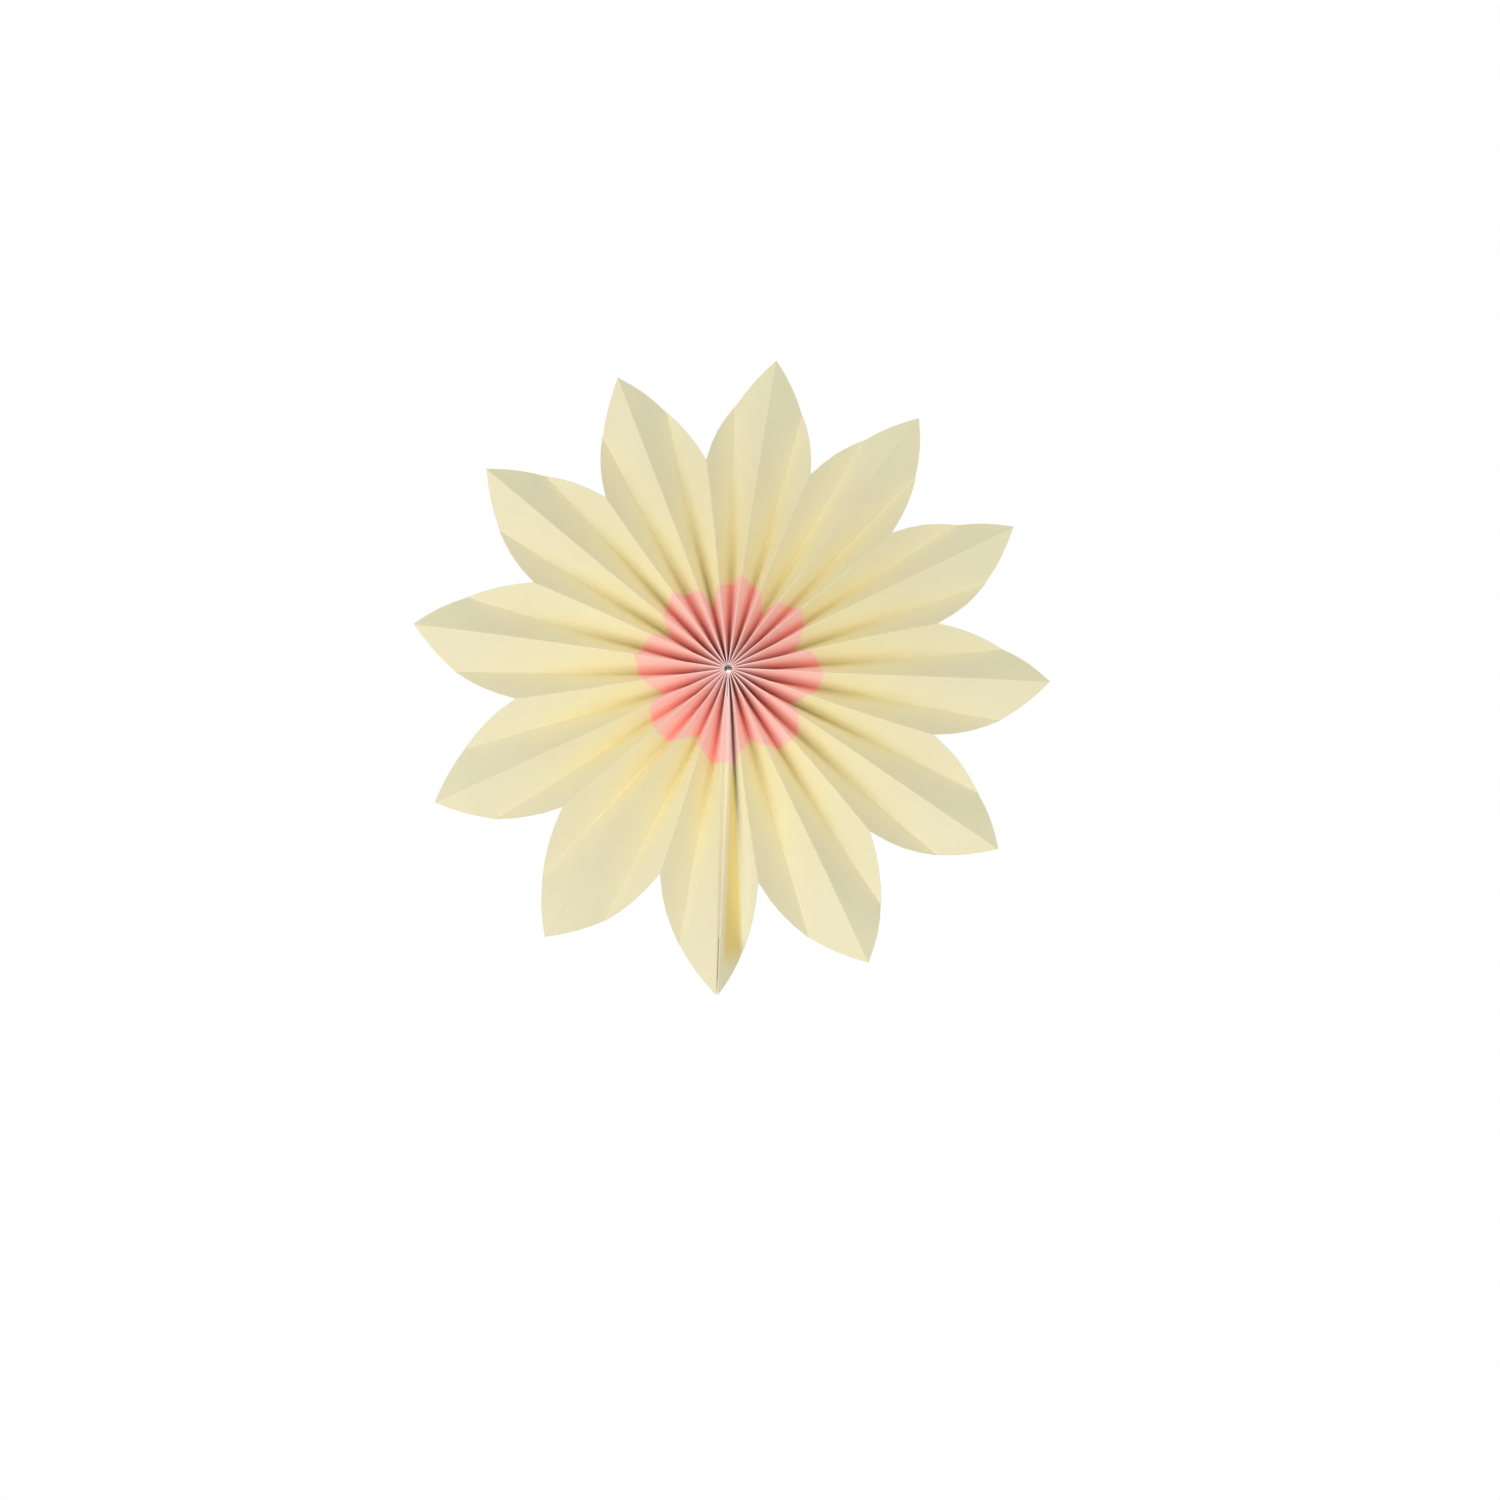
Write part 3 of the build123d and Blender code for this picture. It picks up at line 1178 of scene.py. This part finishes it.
@dataclass(frozen=True)
class HubThread:
    """The ring of two-ply thread through the punched holes, with its knot at the seam."""

    ring_radius: float
    knot_heading: float
    node: str = "hub_thread"
    ply_radius: float = 0.165 * MM
    ply_offset: float = 0.155 * MM
    plies: int = 2
    twists: int = 19
    steps_a_twist: int = 12
    loop_radius: float = 0.36 * MM
    loop_leans: tuple[float, ...] = (-28.0, 8.0, 40.0)

    def ply(self, number: int) -> bpy.types.Object:
        """Makes one ply: a closed curve that winds about the ring, turned into a mesh.

        Args:
            number: The ply's number, from 0.

        Returns:
            The ply.
        """
        steps = self.twists * self.steps_a_twist
        bpy.ops.object.select_all(action="DESELECT")
        bpy.ops.curve.primitive_bezier_circle_add(radius=self.ring_radius)
        ply = bpy.context.object
        ply.data.splines.clear()
        spline = ply.data.splines.new("NURBS")
        spline.points.add(steps - 1)
        for step, point in enumerate(spline.points):
            round_ring = tau * step / steps
            round_ply = tau * (self.twists * step / steps + number / self.plies)
            out = self.ring_radius + self.ply_offset * cos(round_ply)
            point.co = (out * cos(round_ring), self.ply_offset * sin(round_ply), out * sin(round_ring), 1)
        spline.use_cyclic_u = True
        spline.order_u = 3
        ply.data.dimensions = "3D"
        ply.data.resolution_u = 2
        ply.data.bevel_depth = self.ply_radius
        ply.data.bevel_resolution = 2
        bpy.ops.object.convert(target="MESH")
        return bpy.context.object

    def knot_loop(self, lean: float) -> bpy.types.Object:
        """Makes one turn of the knot round the ring.

        Args:
            lean: How far the turn leans, in degrees.

        Returns:
            The turn.
        """
        heading = radians(self.knot_heading)
        bpy.ops.object.select_all(action="DESELECT")
        bpy.ops.mesh.primitive_torus_add(
            major_radius=self.loop_radius, minor_radius=self.ply_radius, major_segments=24, minor_segments=10,
            location=(self.ring_radius * cos(heading), 0, self.ring_radius * sin(heading)),
            rotation=(radians(lean), radians(90 + lean / 2), 0),
        )
        return bpy.context.object

    def build(self, finish: bpy.types.Material) -> bpy.types.Object:
        """Makes the plies and the knot, joins them and dresses them.

        Args:
            finish: The thread's material.

        Returns:
            The finished piece.
        """
        made = [self.ply(number) for number in range(self.plies)]
        made += [self.knot_loop(lean) for lean in self.loop_leans]
        bpy.ops.object.select_all(action="DESELECT")
        for piece in made:
            piece.select_set(True)
        bpy.context.view_layer.objects.active = made[0]
        bpy.ops.object.join()
        thread = bpy.context.object
        thread.name = thread.data.name = "twisted_thread"
        bpy.ops.object.transform_apply(location=True, rotation=True, scale=True)
        thread.data.materials.clear()
        thread.data.materials.append(finish)
        bpy.ops.object.shade_smooth()
        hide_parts(self.node)
        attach(thread, BODY)
        return thread


# Floor, light and camera


@dataclass(frozen=True)
class SoftLight:
    """One soft lamp: where it stands round the fan, how large it is and its power."""

    name: str
    azimuth: float
    elevation: float
    distance: float
    size: float
    watts: float


@dataclass(frozen=True)
class Studio:
    """A pale floor, a white surround, a soft lamp and the camera."""

    ambient: float = 0.78
    lamps: tuple[SoftLight, ...] = (
        SoftLight("key", azimuth=-21, elevation=-26, distance=1.9, size=1.3, watts=16.3),
    )
    bounces: int = 12
    floor_below: float = 1.25
    floor_size: float = 30.0
    floor_colour: Colour = (0.88, 0.88, 0.88, 1)
    plain_from: float = 0.35
    white_from: float = 0.8
    camera_azimuth: float = 1.0
    camera_elevation: float = -7.0
    camera_distance: float = 1.05
    photo_pixels: float = 1500.0
    hub_pixel: tuple[float, float] = (728.5, 671.2)
    pixels_per_metre: float = 1821.4
    sensor: float = 36.0

    def place_round(self, azimuth: float, elevation: float, distance: float) -> Vector:
        """Point at a distance from the hub: azimuth 0 is in front of the fan and 90 is at +X."""
        a, e = radians(azimuth), radians(elevation)
        return Vector((sin(a) * cos(e), -cos(a) * cos(e), sin(e))) * distance

    def turned_to_hub(self, place: Vector) -> Euler:
        """Rotation of a lamp or a camera that stands at a place and looks at the hub."""
        return (-place).to_track_quat("-Z", "Y").to_euler()

    def seen_directly(self, wiring: Wiring) -> bpy.types.NodeSocket:
        """Tells the rays that show the surround itself from those that only light the scene.

        Args:
            wiring: The wiring to add it to.

        Returns:
            1 for rays from the camera, in a reflection or through glass, and 0 for others.
        """
        path = wiring.node("LightPath")
        seen = wiring.calc("MAXIMUM", path.outputs["Is Camera Ray"], path.outputs["Is Glossy Ray"])
        return wiring.calc("MAXIMUM", seen, path.outputs["Is Transmission Ray"])

    def build_world(self) -> None:
        """White where it is seen, and a plain soft light elsewhere."""
        world = bpy.data.worlds.new("white_surround")
        world.use_nodes = True
        bpy.context.scene.world = world
        wiring = Wiring(world.node_tree)
        strength = wiring.calc("MULTIPLY_ADD", self.seen_directly(wiring), 1 - self.ambient, self.ambient)
        surround = wiring.node("Background", {"Color": (1, 1, 1, 1), "Strength": strength})
        wiring.node("OutputWorld", {"Surface": surround.outputs[0]})

    def build_floor(self) -> bpy.types.Object:
        """Makes a pale floor below the fan, which turns into the white surround further out.

        Returns:
            The floor.
        """
        bpy.ops.mesh.primitive_plane_add(size=self.floor_size, location=(0, 0, -self.floor_below))
        floor = bpy.context.object
        floor.name = "pale_floor"
        material, wiring = new_material("pale_floor_paint")
        place = wiring.node("TexCoord").outputs["Object"]
        out = wiring.node("VectorMath", {0: place}, operation="LENGTH").outputs["Value"]
        fade = wiring.ramp(out, self.plain_from, self.white_from)
        paint = wiring.node("BsdfPrincipled", {"Base Color": self.floor_colour, "Roughness": 0.9})
        white = wiring.node("Emission", {"Color": (1, 1, 1, 1), "Strength": 1.0})
        share = wiring.calc("MULTIPLY", self.seen_directly(wiring), fade)
        both = wiring.node("MixShader", {0: share, 1: paint.outputs[0], 2: white.outputs[0]})
        wiring.node("OutputMaterial", {"Surface": both.outputs[0]})
        floor.data.materials.append(material)
        return floor

    def build_lamp(self, lamp: SoftLight) -> bpy.types.Object:
        """Makes a square area lamp that faces the hub.

        Args:
            lamp: Its place, size and power.

        Returns:
            The lamp.
        """
        place = self.place_round(lamp.azimuth, lamp.elevation, lamp.distance)
        bpy.ops.object.light_add(type="AREA", location=place, rotation=self.turned_to_hub(place))
        made = bpy.context.object
        made.name = lamp.name
        made.data.energy = lamp.watts
        made.data.size = lamp.size
        return made

    def build_camera(self) -> bpy.types.Object:
        """Makes the camera at the photograph's angle, shifted so that the hub lies where it does there.

        Returns:
            The camera.
        """
        place = self.place_round(self.camera_azimuth, self.camera_elevation, self.camera_distance)
        bpy.ops.object.camera_add(location=place, rotation=self.turned_to_hub(place))
        camera = bpy.context.object
        middle = self.photo_pixels / 2
        camera.data.sensor_width = self.sensor
        camera.data.lens = self.pixels_per_metre * self.camera_distance * self.sensor / self.photo_pixels
        camera.data.shift_x = (middle - self.hub_pixel[0]) / self.photo_pixels
        camera.data.shift_y = (self.hub_pixel[1] - middle) / self.photo_pixels
        bpy.context.scene.camera = camera
        return camera

    def build(self) -> None:
        """Makes the surround, the floor, the lamps and the camera."""
        bpy.context.scene.view_settings.view_transform = "Standard"
        bpy.context.scene.cycles.diffuse_bounces = self.bounces
        bpy.ops.object.select_all(action="DESELECT")
        self.build_world()
        self.build_floor()
        for lamp in self.lamps:
            self.build_lamp(lamp)
        self.build_camera()


def main() -> None:
    """Builds the paper, the tape, the thread and the studio, and reports each piece."""
    logging.basicConfig(level=logging.INFO, format="%(name)s: %(message)s")
    fan = FanFold()
    groups = PaperGroups(paper_fibre(), crease_wear(fan.panel_width))
    finishes = [
        PrintedPaper(fan.panels).material(groups),
        PlainPaper(fan.panels).material(groups),
        CutEdge().material(groups),
    ]
    strip = PleatedStrip(fan, PaperHandling()).build(finishes)
    log.info("%s: %d faces", strip.name, len(strip.data.polygons))
    tape = SeamTape().dress(TapeFilm().material())
    log.info("%s: %d faces", tape.name, len(tape.data.polygons))
    thread = HubThread(fan.thread_ring_radius, fan.seam_heading).build(CottonThread().material())
    log.info("%s: %d faces", thread.name, len(thread.data.polygons))
    Studio().build()


if __name__ == "__main__":
    main()
